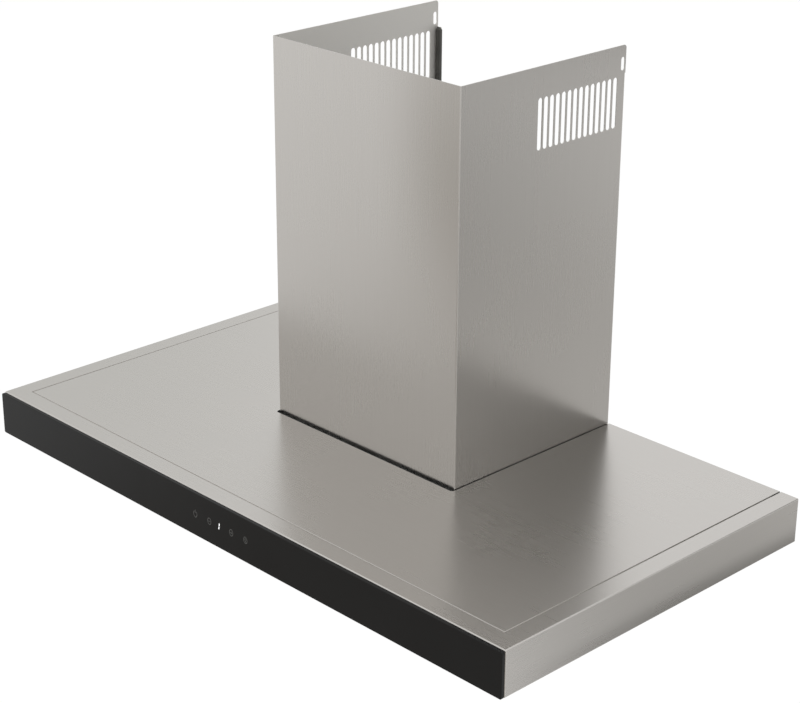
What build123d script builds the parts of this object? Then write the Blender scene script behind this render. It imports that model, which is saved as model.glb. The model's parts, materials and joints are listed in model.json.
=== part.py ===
from build123d import *

import math
import os

# Wall-mounted canopy range hood, in millimetres.
# X runs to the right, Y towards the wall and Z up. The origin is on the wall plane,
# in the middle of the four wall fixing holes of the canopy's rear panel.

# Canopy shell and top panel
canopy_width = 898.0
canopy_depth = 498.0
canopy_height = 57.0
sheet = 1.0
bend_radius = 1.6
rim_width = 25.0
seam_gap = 1.5
edge_break = 0.4
ledge_width = 12.0
ledge_root = 6.0
lip_width = 14.0
fit_gap = 0.3

# Rear panel and its wall fixing holes
rear_sheet = 1.2
rear_flange = 16.0
wall_hole_height = 28.5
wall_hole_spacing = 640.0
wall_hole_rise = 26.0
wall_hole_radius = 3.5

# Chimney cover
chimney_width = 314.0
chimney_depth = 277.0
chimney_rise = 488.0
chimney_seat_drop = 5.0
notch_side_gap = 1.3
notch_front_gap = 5.0
notch_corner_radius = 4.0
chimney_flange = 7.5
flange_drop = 34.0
tab_corner_radius = 4.0
vent_count = 14
vent_pitch = 10.0
vent_width = 7.2
vent_length = 62.0
vent_drop = 37.0
vent_rear = 17.5
fixing_slot_width = 6.2
fixing_slot_length = 16.4
fixing_slot_drop = 14.1
fixing_slot_rear = 5.3

# Black edge trims on the rear flanges of the chimney cover
trim_thickness = 3.0
trim_lip = 1.2
trim_chamfer = 3.0
trim_foot_gap = 2.0

# Front glass, its bonding tape and the touch unit behind it
glass_thickness = 4.0
glass_top_drop = 1.0
glass_corner_radius = 2.5
glass_edge_break = 0.5
tape_thickness = 0.8
tape_height = 10.0
tape_inset = 4.0
tape_end_gap = 20.0
touch_width = 128.0
touch_height = 32.0
touch_depth = 18.0
touch_wall = 1.5
touch_window_gap = 0.5
touch_board_thickness = 1.6
sensor_radius = 4.6
sensor_length = 6.0
inner_key_offset = 20.0
outer_key_offset = 45.6
digit_width = 9.0
digit_height = 14.0

# Underside panel and grease filters
filter_count = 3
bank_side_margin = 39.0
crossbar = 26.0
front_zone = 149.0
aperture_rear_gap = 32.0
aperture_flange = 14.0
filter_thickness = 9.0
filter_side_clearance = 1.0
filter_front_clearance = 1.0
filter_rear_clearance = 2.0
filter_frame_face = 14.0
filter_frame_sheet = 1.0
mesh_sheet = 0.8
mesh_clearance = 0.1
stud_radius = 2.0
stud_clearance = 0.05
stud_inset = 6.0
stud_reach = 4.0
pull_length = 60.0
pull_width = 26.0
pull_depth = 6.5
pull_wall = 1.5
pull_edge_gap = 6.0
catch_offset = 70.0
catch_length = 24.0
catch_depth = 9.0

# Lamps
lamp_side_gap = 179.0
lamp_front_gap = 74.0
lamp_barrel_radius = 31.0
lamp_flange_radius = 36.0
lamp_window_radius = 25.0
lamp_lens_radius = 28.0
lamp_seat = 1.4
lamp_lens_thickness = 3.0
lamp_barrel_height = 11.0
lamp_hole_clearance = 0.4
lamp_board_thickness = 1.6
lamp_sink_height = 16.0
lamp_fin_count = 4
lamp_fin_thickness = 2.0
lamp_fin_depth = 8.0
lamp_clip_width = 8.0
lamp_clip_thickness = 0.6
lamp_clip_reach = 10.0
lamp_clip_height = 7.0

# Power box
power_left = 20.0
power_length = 140.0
power_depth = 88.0
power_height = 33.0
power_front_gap = 34.0
power_wall = 1.5
power_lid_skirt = 8.0
power_lid_clearance = 0.2
power_post_height = 4.0
power_post_radius = 3.0
power_board_margin = 6.0
power_board_thickness = 1.6
capacitor_radius = 9.0
capacitor_length = 52.0

# Blower deck, gasket and blower box
deck_sheet = 1.2
deck_margin = 8.0
deck_flange = 14.0
gasket_thickness = 1.5
box_sheet = 1.0
box_width = 250.0
box_rear_gap = 8.0
box_front_gap = 12.0
box_flange = 14.0
box_screw_count = 3
air_opening_margin = 8.0

# Scroll, fan wheel and motor
wheel_radius = 70.0
wheel_width = 100.0
wheel_side_gap = 5.0
wheel_ring = 2.0
wheel_disc = 2.0
blade_count = 36
blade_depth = 11.0
blade_thickness = 0.9
blade_sweep = 9.0
tongue_clearance = 14.0
tongue_angle = 60.0
scroll_step = 10.0
scroll_sheet = 1.2
scroll_floor_gap = 8.0
scroll_flange = 2.0
scroll_flange_margin = 2.0
outlet_rise = 125.0
inlet_gap = 12.0
inlet_lip = 6.0
shaft_radius = 4.0
shaft_clearance = 0.05
shaft_inner_end = 18.0
hub_radius = 14.0
hub_length = 18.0
motor_radius = 38.0
motor_length = 62.0
motor_gap = 10.0
motor_boss_radius = 14.0
motor_boss_length = 4.0
motor_bore_depth = 50.0
motor_flange_radius = 42.0
motor_flange_thickness = 3.0
bracket_thickness = 3.0
bracket_ring = 9.0
bracket_arm_width = 12.0
bracket_clearance = 0.05
bush_radius = 6.0
bush_circle = 72.0
bush_first_angle = 30.0
bush_count = 3

# Outlet collar and damper flaps
collar_radius = 75.0
collar_wall = 2.5
collar_height = 45.0
collar_flange_radius = 86.0
collar_flange_thickness = 3.0
collar_screw_circle = 80.5
collar_screw_count = 4
stop_ring_height = 8.0
stop_ring_thickness = 2.0
stop_ring_width = 6.0
flap_thickness = 1.5
flap_seat_gap = 0.3
flap_edge_clearance = 1.0
flap_axis_offset = 4.0
flap_axis_rise = 2.0
flap_knuckle_radius = 2.5
flap_knuckle_end_gap = 4.0
flap_pin_radius = 1.5
flap_pin_clearance = 0.05
flap_pin_end_gap = 0.5

# Cable gland in the top of the blower box
gland_x = 70.0
gland_front_gap = 34.0
gland_thread_radius = 8.0
gland_thread_clearance = 0.2
gland_thread_length = 9.0
gland_collar_radius = 12.0
gland_collar_height = 4.0
gland_cap_radius = 10.0
gland_cap_height = 13.0
gland_bore_radius = 4.0
gland_nut_height = 5.0
gland_nut_width = 22.0

# Leads that stay inside the hood
lead_radius = 2.5
lead_height = 20.0
motor_lead_x = 100.0
motor_lead_bend = 16.0
ribbon_x = 44.0
ribbon_width = 16.0
ribbon_thickness = 1.2

# Screws
screw_radius = 1.9
screw_hole_clearance = 0.3
screw_head_radius = 3.8
screw_head_height = 2.4
screw_end_reach = 5.0

# Levels and places that follow from the sizes above
half_width = canopy_width / 2
underside_z = -wall_hole_height
top_z = underside_z + canopy_height
panel_under_z = top_z - sheet
floor_under_z = underside_z + sheet
floor_top_z = floor_under_z + sheet
chimney_foot_z = top_z - chimney_seat_drop
chimney_top_z = top_z + chimney_rise
deck_under_z = chimney_foot_z - deck_sheet
glass_back_y = -(canopy_depth + tape_thickness)
wall_gap_y = -(rear_sheet + fit_gap)

notch_half = chimney_width / 2 + notch_side_gap
notch_front_y = -(chimney_depth + notch_front_gap)
deck_half = notch_half + deck_margin
deck_front_y = notch_front_y - deck_margin

bank_width = canopy_width - 2 * bank_side_margin
aperture_width = (bank_width - (filter_count - 1) * crossbar) / filter_count
aperture_rear_y = -aperture_rear_gap
aperture_front_y = -(canopy_depth - front_zone)
aperture_centres = [
    (index - (filter_count - 1) / 2) * (aperture_width + crossbar) for index in range(filter_count)
]
filter_names = ["left", "middle", "right"][:filter_count]
filter_width = aperture_width - 2 * filter_side_clearance
filter_rear_y = aperture_rear_y - filter_rear_clearance
filter_front_y = aperture_front_y + filter_front_clearance
filter_top_z = floor_under_z + filter_thickness
stud_y = filter_rear_y - stud_inset
stud_z = floor_under_z + filter_thickness / 2

lamp_x = half_width - lamp_side_gap
lamp_y = -(canopy_depth - lamp_front_gap)

box_half = box_width / 2
box_rear_y = -box_rear_gap
box_front_y = -(chimney_depth - sheet - box_front_gap)
box_foot_z = chimney_foot_z + gasket_thickness
scroll_radius = wheel_radius + tongue_clearance
scroll_half = wheel_width / 2 + wheel_side_gap
fan_axis_z = box_foot_z + scroll_floor_gap + scroll_sheet + scroll_radius + 1.5 * scroll_step
box_top_z = fan_axis_z + outlet_rise + box_sheet
collar_y = box_rear_y - collar_flange_radius
flap_z = box_top_z + stop_ring_height + stop_ring_thickness + flap_axis_rise
inlet_radius = wheel_radius - inlet_gap
motor_end_x = motor_gap + motor_length
bracket_x = scroll_half + scroll_sheet + inlet_lip + fit_gap
gland_y = box_front_y + gland_front_gap
screw_hole_radius = screw_radius + screw_hole_clearance
box_screw_x = box_half + box_flange / 2
box_screw_ys = [
    box_front_y + (box_rear_y - box_front_y) * (index + 0.5) / box_screw_count
    for index in range(box_screw_count)
]
collar_screw_places = [
    (
        collar_screw_circle * math.cos(math.radians(45 + 360 * index / collar_screw_count)),
        collar_y + collar_screw_circle * math.sin(math.radians(45 + 360 * index / collar_screw_count)),
    )
    for index in range(collar_screw_count)
]


def span(x0, x1, y0, y1, z0, z1):
    """A block between two opposite corners."""
    return Pos((x0 + x1) / 2, (y0 + y1) / 2, (z0 + z1) / 2) * Box(x1 - x0, y1 - y0, z1 - z0)


def rod_x(x0, x1, y, z, radius):
    """A round bar along X."""
    return Pos((x0 + x1) / 2, y, z) * Rot(0, 90, 0) * Cylinder(radius, x1 - x0)


def rod_y(x, y0, y1, z, radius):
    """A round bar along Y."""
    return Pos(x, (y0 + y1) / 2, z) * Rot(90, 0, 0) * Cylinder(radius, y1 - y0)


def rod_z(x, y, z0, z1, radius):
    """A round bar along Z."""
    return Pos(x, y, (z0 + z1) / 2) * Cylinder(radius, z1 - z0)


def frame_ring(x0, x1, y0, y1, z0, z1, wall):
    """A rectangular wall that stands outside the given opening."""
    outer = span(x0 - wall, x1 + wall, y0 - wall, y1 + wall, z0, z1)
    return outer - span(x0, x1, y0, y1, z0 - 1, z1 + 1)


def pair(make):
    """The same piece on both sides, made by a function of the side's sign."""
    return Compound(children=[make(-1), make(1)])


def make_canopy_shell():
    """Front, sides, top rim and bottom lip, folded from one sheet and open at the rear."""
    outer = span(-half_width, half_width, -canopy_depth, 0, underside_z, top_z)
    outer = fillet(outer.edges().filter_by(lambda edge: edge.center().Y < -1), bend_radius)
    inside = span(
        -half_width + sheet, half_width - sheet, -canopy_depth + sheet, 1, floor_under_z, panel_under_z
    )
    rim_x = half_width - rim_width
    rim_y = -(canopy_depth - rim_width)
    top_opening = span(-rim_x, rim_x, rim_y, 1, panel_under_z - 1, top_z + 1)
    lip_x = half_width - lip_width
    lip_y = -(canopy_depth - lip_width)
    bottom_opening = span(-lip_x, lip_x, lip_y, 1, underside_z - 1, floor_top_z)
    rear_room = span(
        -half_width + sheet, half_width - sheet, wall_gap_y, 1, underside_z - 1, floor_top_z
    )
    shell = outer - inside - top_opening - bottom_opening - rear_room
    inner_edges = shell.edges().filter_by(
        lambda edge: abs(edge.center().Z - top_z) < 0.01
        and (
            (abs(abs(edge.center().X) - rim_x) < 0.01 and edge.length > rim_width)
            or (abs(edge.center().Y - rim_y) < 0.01 and edge.length > rim_width)
        )
    )
    shell = chamfer(inner_edges, edge_break)
    ledge_low = panel_under_z - sheet
    side_ledges = [
        span(
            min(side * (rim_x - ledge_width), side * (rim_x + ledge_root)),
            max(side * (rim_x - ledge_width), side * (rim_x + ledge_root)),
            rim_y - ledge_root,
            wall_gap_y - rear_flange,
            ledge_low,
            panel_under_z,
        )
        for side in (-1, 1)
    ]
    front_ledge = span(-rim_x, rim_x, rim_y - ledge_root, rim_y + ledge_width, ledge_low, panel_under_z)
    window = span(
        -touch_width / 2 - touch_window_gap,
        touch_width / 2 + touch_window_gap,
        -canopy_depth - 1,
        -canopy_depth + sheet + 1,
        underside_z + (canopy_height - touch_height) / 2 - touch_window_gap,
        underside_z + (canopy_height + touch_height) / 2 + touch_window_gap,
    )
    return shell + side_ledges + front_ledge - window


def make_top_panel():
    """Flat panel in the rim, with a notch at the rear that the chimney drops into."""
    side_x = half_width - rim_width - seam_gap
    front_y = -(canopy_depth - rim_width - seam_gap)
    panel = span(-side_x, side_x, front_y, 0, panel_under_z, top_z)
    panel = chamfer(
        panel.edges().filter_by(
            lambda edge: abs(edge.center().Z - top_z) < 0.01 and edge.center().Y < -1
        ),
        edge_break,
    )
    notch = span(-notch_half, notch_half, notch_front_y, 1, panel_under_z - 1, top_z + 1)
    notch = fillet(
        notch.edges().filter_by(Axis.Z).filter_by(lambda edge: edge.center().Y < -1), notch_corner_radius
    )
    return panel - notch


def make_rear_panel():
    """Channel that closes the canopy towards the wall and carries the wall fixing holes."""
    end_x = half_width - sheet
    web = span(-end_x, end_x, -rear_sheet, 0, underside_z, panel_under_z)
    web -= span(-notch_half, notch_half, -rear_sheet - 1, 1, chimney_foot_z - 1, top_z)
    flange_end = half_width - rim_width - ledge_width - fit_gap
    flange_start = deck_half + deck_flange + fit_gap
    top_flanges = [
        span(
            min(side * flange_start, side * flange_end),
            max(side * flange_start, side * flange_end),
            -rear_sheet - rear_flange,
            -rear_sheet,
            panel_under_z - rear_sheet,
            panel_under_z,
        )
        for side in (-1, 1)
    ]
    bottom_x = half_width - lip_width - fit_gap
    bottom_flange = span(
        -bottom_x, bottom_x, -rear_sheet - rear_flange, -rear_sheet, underside_z, floor_under_z
    )
    tabs = [
        span(
            min(side * (end_x - rear_sheet), side * end_x),
            max(side * (end_x - rear_sheet), side * end_x),
            -rear_sheet - rear_flange,
            -rear_sheet,
            floor_top_z + fit_gap,
            panel_under_z - sheet - fit_gap,
        )
        for side in (-1, 1)
    ]
    holes = [
        rod_y(x, -rear_sheet - 1, 1, z, wall_hole_radius)
        for x in (-wall_hole_spacing / 2, wall_hole_spacing / 2)
        for z in (-wall_hole_rise / 2, wall_hole_rise / 2)
    ]
    return web + top_flanges + bottom_flange + tabs - holes


def make_underside_panel():
    """Floor of the canopy with three folded filter openings and two lamp holes."""
    side_x = half_width - sheet - fit_gap
    panel = span(
        -side_x, side_x, -(canopy_depth - sheet - fit_gap), wall_gap_y, floor_under_z, floor_top_z
    )
    openings = []
    walls = []
    stud_holes = []
    for x in aperture_centres:
        x0 = x - aperture_width / 2
        x1 = x + aperture_width / 2
        openings.append(
            span(x0, x1, aperture_front_y, aperture_rear_y, floor_under_z - 1, floor_top_z + 1)
        )
        walls.append(
            frame_ring(
                x0, x1, aperture_front_y, aperture_rear_y, floor_under_z, floor_top_z + aperture_flange, sheet
            )
        )
        for wall_x in (x0, x1):
            stud_holes.append(
                rod_x(wall_x - 2 * sheet, wall_x + 2 * sheet, stud_y, stud_z, stud_radius + stud_clearance)
            )
    lamp_holes = [
        rod_z(
            side * lamp_x,
            lamp_y,
            floor_under_z - 1,
            floor_top_z + 1,
            lamp_barrel_radius + lamp_hole_clearance,
        )
        for side in (-1, 1)
    ]
    return panel - openings + walls - stud_holes - lamp_holes


def make_front_glass():
    """Tempered plate over the whole steel front, with rounded corners and broken edges."""
    low = underside_z
    high = top_z - glass_top_drop
    front_y = glass_back_y - glass_thickness
    plate = span(-half_width, half_width, front_y, glass_back_y, low, high)
    plate = fillet(plate.edges().filter_by(Axis.Y), glass_corner_radius)
    front_edges = plate.faces().sort_by(Axis.Y)[0].edges()
    return chamfer(front_edges, glass_edge_break)


def make_glass_tape():
    """Two strips of bonding tape between the glass and the steel front."""
    end_x = half_width - tape_end_gap
    lows = [underside_z + tape_inset, top_z - glass_top_drop - tape_inset - tape_height]
    return Compound(
        children=[
            span(-end_x, end_x, glass_back_y, -canopy_depth, low, low + tape_height) for low in lows
        ]
    )


def touch_box(inset, y0, y1):
    """Block in the middle of the front, inset from the outside of the touch housing."""
    middle_z = underside_z + canopy_height / 2
    half_x = touch_width / 2 - inset
    half_z = touch_height / 2 - inset
    return span(-half_x, half_x, y0, y1, middle_z - half_z, middle_z + half_z)


def make_touch_housing():
    """Tray behind the glass, open towards it."""
    tray = touch_box(0, glass_back_y, glass_back_y + touch_depth)
    pocket = touch_box(touch_wall, glass_back_y - 1, glass_back_y + touch_depth - touch_wall)
    tape_room = [
        span(-touch_width, touch_width, glass_back_y - 1, -canopy_depth, low, low + tape_height)
        for low in (underside_z + tape_inset, top_z - glass_top_drop - tape_inset - tape_height)
    ]
    return tray - pocket - tape_room


def make_touch_board():
    """Circuit board that carries the sensor pads and the digit."""
    y0 = glass_back_y + sensor_length
    return touch_box(touch_wall + fit_gap, y0, y0 + touch_board_thickness)


def make_touch_sensors():
    """Conductive pads between the board and the glass, one behind each icon."""
    middle_z = underside_z + canopy_height / 2
    return Compound(
        children=[
            rod_y(x, glass_back_y, glass_back_y + sensor_length, middle_z, sensor_radius)
            for x in (-outer_key_offset, -inner_key_offset, inner_key_offset, outer_key_offset)
        ]
    )


def make_digit_display():
    """Segment display behind the middle of the icon row."""
    middle_z = underside_z + canopy_height / 2
    return span(
        -digit_width / 2,
        digit_width / 2,
        glass_back_y,
        glass_back_y + sensor_length,
        middle_z - digit_height / 2,
        middle_z + digit_height / 2,
    )


def pull_span(x, inset, z0, z1):
    """Block over the finger pull's outline, inset from its outside."""
    y0 = filter_front_y + filter_frame_face + pull_edge_gap
    return span(
        x - pull_length / 2 + inset,
        x + pull_length / 2 - inset,
        y0 + inset,
        y0 + pull_width - inset,
        z0,
        z1,
    )


def make_filter_frame(x):
    """Channel frame of a grease filter, with a pivot stud on each side near the rear."""
    x0 = x - filter_width / 2
    x1 = x + filter_width / 2
    face = filter_frame_face
    wall = filter_frame_sheet
    frame = span(x0, x1, filter_front_y, filter_rear_y, floor_under_z, filter_top_z)
    frame -= span(
        x0 + face, x1 - face, filter_front_y + face, filter_rear_y - face, floor_under_z - 1, filter_top_z + 1
    )
    frame -= span(
        x0 + wall, x1 - wall, filter_front_y + wall, filter_rear_y - wall, floor_under_z + wall, filter_top_z - wall
    )
    studs = [
        rod_x(x0 - stud_reach, x0 + wall, stud_y, stud_z, stud_radius),
        rod_x(x1 - wall, x1 + stud_reach, stud_y, stud_z, stud_radius),
    ]
    return frame + studs


def make_filter_mesh(x):
    """Lower and upper mesh sheet in the channel, the lower one cut out around the finger pull."""
    gap = filter_frame_sheet + mesh_clearance
    sheets = [
        span(
            x - filter_width / 2 + gap,
            x + filter_width / 2 - gap,
            filter_front_y + gap,
            filter_rear_y - gap,
            low,
            low + mesh_sheet,
        )
        for low in (floor_under_z + gap, filter_top_z - gap - mesh_sheet)
    ]
    cup_high = floor_under_z + pull_depth + mesh_clearance
    sheets[0] -= pull_span(x, -mesh_clearance, floor_under_z - 1, cup_high)
    return Compound(children=sheets)


def make_filter_pull(x):
    """Flush cup with a lip over its front half that a finger hooks behind."""
    low = floor_under_z
    cup = pull_span(x, 0, low, low + pull_depth)
    pocket = pull_span(x, pull_wall, low - 1, low + pull_depth - pull_wall)
    lip_y = filter_front_y + filter_frame_face + pull_edge_gap
    lip = span(
        x - pull_length / 2, x + pull_length / 2, lip_y, lip_y + pull_width / 2, low, low + pull_wall
    )
    return cup - pocket + lip


def make_filter_catches():
    """Magnet blocks on the front wall of each opening, just above the closed filters."""
    blocks = []
    for x in aperture_centres:
        for side in (-1, 1):
            middle = x + side * catch_offset
            blocks.append(
                span(
                    middle - catch_length / 2,
                    middle + catch_length / 2,
                    aperture_front_y,
                    aperture_front_y + catch_depth,
                    filter_top_z + fit_gap,
                    floor_top_z + aperture_flange,
                )
            )
    return Compound(children=blocks)


def make_lamp_bezel(side):
    """Flanged ring in the lamp hole, with a seat for the lens."""
    x = side * lamp_x
    flange = rod_z(x, lamp_y, underside_z, floor_under_z, lamp_flange_radius)
    barrel = rod_z(x, lamp_y, floor_under_z, underside_z + lamp_barrel_height, lamp_barrel_radius)
    window = rod_z(x, lamp_y, underside_z - 1, underside_z + lamp_seat + 1, lamp_window_radius)
    bore = rod_z(
        x,
        lamp_y,
        underside_z + lamp_seat,
        underside_z + lamp_barrel_height + 1,
        lamp_lens_radius + fit_gap,
    )
    return flange + barrel - window - bore


def make_lamp_lens(side):
    """Frosted disc that rests on the bezel's seat."""
    low = underside_z + lamp_seat
    return rod_z(side * lamp_x, lamp_y, low, low + lamp_lens_thickness, lamp_lens_radius)


def make_lamp_board(side):
    """Round board with the light-emitting diodes, under the heat sink."""
    high = underside_z + lamp_barrel_height
    return rod_z(side * lamp_x, lamp_y, high - lamp_board_thickness, high, lamp_lens_radius)


def make_lamp_sink(side):
    """Finned heat sink that closes the barrel."""
    x = side * lamp_x
    low = underside_z + lamp_barrel_height
    high = low + lamp_sink_height
    core = rod_z(x, lamp_y, low, high, lamp_barrel_radius - lamp_fin_depth)
    pitch = (lamp_sink_height - lamp_fin_thickness) / (lamp_fin_count - 1)
    fins = [
        rod_z(
            x,
            lamp_y,
            low + index * pitch,
            low + index * pitch + lamp_fin_thickness,
            lamp_barrel_radius,
        )
        for index in range(lamp_fin_count)
    ]
    return core + fins


def make_lamp_clips():
    """Bent springs that hold the lamps against the underside panel."""
    clips = []
    for side in (-1, 1):
        for way in (-1, 1):
            start = side * lamp_x + way * lamp_barrel_radius
            foot = span(
                min(start, start + way * lamp_clip_reach),
                max(start, start + way * lamp_clip_reach),
                lamp_y - lamp_clip_width / 2,
                lamp_y + lamp_clip_width / 2,
                floor_top_z,
                floor_top_z + lamp_clip_thickness,
            )
            leg = span(
                min(start, start + way * lamp_clip_thickness),
                max(start, start + way * lamp_clip_thickness),
                lamp_y - lamp_clip_width / 2,
                lamp_y + lamp_clip_width / 2,
                floor_top_z,
                floor_top_z + lamp_clip_height,
            )
            clips.append(foot + leg)
    return Compound(children=clips)


def power_span(inset, z0, z1):
    """Block over the power box's outline, inset from its outside."""
    y0 = -(canopy_depth - power_front_gap)
    return span(
        power_left + inset, power_left + power_length - inset, y0 + inset, y0 + power_depth - inset, z0, z1
    )


def power_post_places():
    """Places of the four posts that carry the power board."""
    y0 = -(canopy_depth - power_front_gap)
    inset = power_wall + power_board_margin
    return [
        (x, y)
        for x in (power_left + inset, power_left + power_length - inset)
        for y in (y0 + inset, y0 + power_depth - inset)
    ]


def make_power_box():
    """Tray on the canopy floor that holds the power board."""
    tray = power_span(0, floor_top_z, floor_top_z + power_height)
    pocket = power_span(power_wall, floor_top_z + power_wall, floor_top_z + power_height + 1)
    posts = [
        rod_z(x, y, floor_top_z + power_wall, floor_top_z + power_wall + power_post_height, power_post_radius)
        for x, y in power_post_places()
    ]
    return tray - pocket + posts


def make_power_lid():
    """Lid with a skirt that plugs into the tray."""
    high = floor_top_z + power_height
    plate = power_span(0, high, high + power_wall)
    inset = power_wall + power_lid_clearance
    skirt = power_span(inset, high - power_lid_skirt, high)
    skirt -= power_span(inset + power_wall, high - power_lid_skirt - 1, high)
    return plate + skirt


def make_power_board():
    """Board on the four posts."""
    low = floor_top_z + power_wall + power_post_height
    return power_span(power_wall + fit_gap, low, low + power_board_thickness)


def make_capacitor():
    """Motor capacitor lying on the power board."""
    low = floor_top_z + power_wall + power_post_height + power_board_thickness
    middle_x = power_left + power_length / 2
    y = -(canopy_depth - power_front_gap) + power_depth / 2
    return rod_x(
        middle_x - capacitor_length / 2,
        middle_x + capacitor_length / 2,
        y,
        low + capacitor_radius,
        capacitor_radius,
    )


def air_opening(z0, z1):
    """Opening under the blower box that the air rises through."""
    inset = air_opening_margin
    return span(-box_half + inset, box_half - inset, box_front_y + inset, box_rear_y - inset, z0, z1)


def screw_holes_z(z0, z1):
    """Clearance holes for the screws that hold the blower box."""
    return [
        rod_z(side * box_screw_x, y, z0, z1, screw_hole_radius) for side in (-1, 1) for y in box_screw_ys
    ]


def make_blower_deck():
    """Recessed tray under the top panel that carries the chimney and the blower box."""
    tray = span(
        -deck_half - deck_sheet,
        deck_half + deck_sheet,
        deck_front_y - deck_sheet,
        wall_gap_y,
        deck_under_z,
        panel_under_z,
    )
    flange = span(
        -deck_half - deck_flange,
        deck_half + deck_flange,
        deck_front_y - deck_flange,
        wall_gap_y,
        panel_under_z - deck_sheet,
        panel_under_z,
    )
    room = span(-deck_half, deck_half, deck_front_y, 1, chimney_foot_z, top_z)
    holes = screw_holes_z(deck_under_z - 1, chimney_foot_z + 1)
    return tray + flange - room - air_opening(deck_under_z - 1, chimney_foot_z + 1) - holes


def make_blower_gasket():
    """Foam frame between the deck and the blower box."""
    outer = span(
        -box_half - box_flange, box_half + box_flange, box_front_y, box_rear_y, chimney_foot_z, box_foot_z
    )
    holes = screw_holes_z(chimney_foot_z - 1, box_foot_z + 1)
    return outer - air_opening(chimney_foot_z - 1, box_foot_z + 1) - holes


def make_box_top():
    """Top plate of the blower box, with the outlet hole and the hole for the cable gland."""
    low = box_top_z - box_sheet
    plate = span(-box_half, box_half, box_front_y, box_rear_y, low, box_top_z)
    corners = plate.edges().filter_by(Axis.Z)
    plate = fillet(corners, bend_radius)
    outlet = rod_z(0, collar_y, low - 1, box_top_z + 1, collar_radius - collar_wall)
    collar_holes = [rod_z(x, y, low - 1, box_top_z + 1, screw_hole_radius) for x, y in collar_screw_places]
    gland_hole = rod_z(gland_x, gland_y, low - 1, box_top_z + 1, gland_thread_radius + gland_thread_clearance)
    return plate - outlet - collar_holes - gland_hole


def make_box_walls():
    """Front and rear wall of the blower box, welded under its top plate."""
    high = box_top_z - box_sheet
    front = span(-box_half, box_half, box_front_y, box_front_y + box_sheet, box_foot_z, high)
    rear = span(-box_half, box_half, box_rear_y - box_sheet, box_rear_y, box_foot_z, high)
    return Compound(children=[front, rear])


def make_box_end(side):
    """End plate between the walls of the blower box, folded out into a foot for the screws."""
    front = box_front_y + box_sheet + fit_gap
    rear = box_rear_y - box_sheet - fit_gap
    inner = box_half - box_sheet
    plate = span(inner, box_half, front, rear, box_foot_z, box_top_z - box_sheet)
    foot = span(inner, box_half + box_flange, front, rear, box_foot_z, box_foot_z + box_sheet)
    end = plate + foot
    if side < 0:
        end = mirror(end, Plane.YZ)
    return end - screw_holes_z(box_foot_z - 1, box_foot_z + box_sheet + 1)


# Centres and radii of the three arcs of the scroll, about the fan axis
arc_centres = [
    (-scroll_step / 2, -scroll_step / 2),
    (scroll_step / 2, -scroll_step / 2),
    (scroll_step / 2, scroll_step / 2),
]
arc_radii = [scroll_radius, scroll_radius + scroll_step, scroll_radius + 2 * scroll_step]
tongue_u = arc_centres[0][0] + arc_radii[0] * math.cos(math.radians(tongue_angle))
outer_u = arc_centres[2][0] + arc_radii[2]
fan_axis_y = collar_y - (tongue_u + outer_u) / 2
fan_plane = Plane(origin=(0, fan_axis_y, fan_axis_z), x_dir=(0, 1, 0), z_dir=(1, 0, 0))


def scroll_profile():
    """Air passage of the scroll: three growing arcs and a straight outlet that rises."""
    first = CenterArc(arc_centres[0], arc_radii[0], tongue_angle, 180 - tongue_angle)
    second = CenterArc(arc_centres[1], arc_radii[1], 180, 90)
    third = CenterArc(arc_centres[2], arc_radii[2], 270, 90)
    tongue_wall = Line((tongue_u, outlet_rise), first @ 0)
    outer_wall = Line(third @ 1, (outer_u, outlet_rise))
    top = Line((outer_u, outlet_rise), (tongue_u, outlet_rise))
    return make_face(tongue_wall + first + second + third + outer_wall + top)


def below_outlet(height):
    """Half plane under the given height, to trim the top of the scroll's outline."""
    reach = 4 * scroll_radius
    return Pos(0, height - reach / 2) * Rectangle(2 * reach, reach)


def fan_prism(outline, x0, x1):
    """An outline in the fan's plane carried along the fan axis from x0 to x1."""
    return Pos(x0, 0, 0) * extrude(fan_plane * outline, amount=x1 - x0)


def make_scroll_wrapper():
    """Wall of the scroll, with a round flange under the top of the blower box."""
    passage = scroll_profile()
    around = offset(passage, amount=scroll_sheet, kind=Kind.INTERSECTION)
    wall = (around & below_outlet(outlet_rise)) - passage
    body = fan_prism(wall, -scroll_half, scroll_half)
    high = fan_axis_z + outlet_rise
    flange_radius = collar_flange_radius - scroll_flange_margin
    flange = rod_z(0, collar_y, high - scroll_flange, high, flange_radius)
    flange -= span(
        -scroll_half,
        scroll_half,
        fan_axis_y + tongue_u,
        fan_axis_y + outer_u,
        high - scroll_flange - 1,
        high + 1,
    )
    holes = [
        rod_z(x, y, high - scroll_flange - 1, high + 1, screw_hole_radius) for x, y in collar_screw_places
    ]
    return body + flange - holes


def bush_places():
    """Places of the motor's rubber bushes around the fan axis."""
    angles = [bush_first_angle + 360 * index / bush_count for index in range(bush_count)]
    return [
        (
            fan_axis_y + bush_circle * math.cos(math.radians(angle)),
            fan_axis_z + bush_circle * math.sin(math.radians(angle)),
            angle,
        )
        for angle in angles
    ]


def make_scroll_side(side):
    """Side plate of the scroll, with an inlet ring that stands outwards."""
    outline = offset(scroll_profile(), amount=scroll_sheet, kind=Kind.INTERSECTION)
    outline = outline & below_outlet(outlet_rise - scroll_flange)
    inner = scroll_half
    outer = scroll_half + scroll_sheet
    x0, x1 = sorted((side * inner, side * outer))
    plate = fan_prism(outline, x0, x1)
    lip0, lip1 = sorted((side * inner, side * (outer + inlet_lip)))
    ring = rod_x(lip0, lip1, fan_axis_y, fan_axis_z, inlet_radius + scroll_sheet)
    bore = rod_x(lip0 - 1, lip1 + 1, fan_axis_y, fan_axis_z, inlet_radius)
    plate = plate + ring - bore
    if side > 0:
        plate -= [rod_x(x0 - 1, x1 + 1, y, z, screw_hole_radius) for y, z, angle in bush_places()]
    return plate


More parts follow.
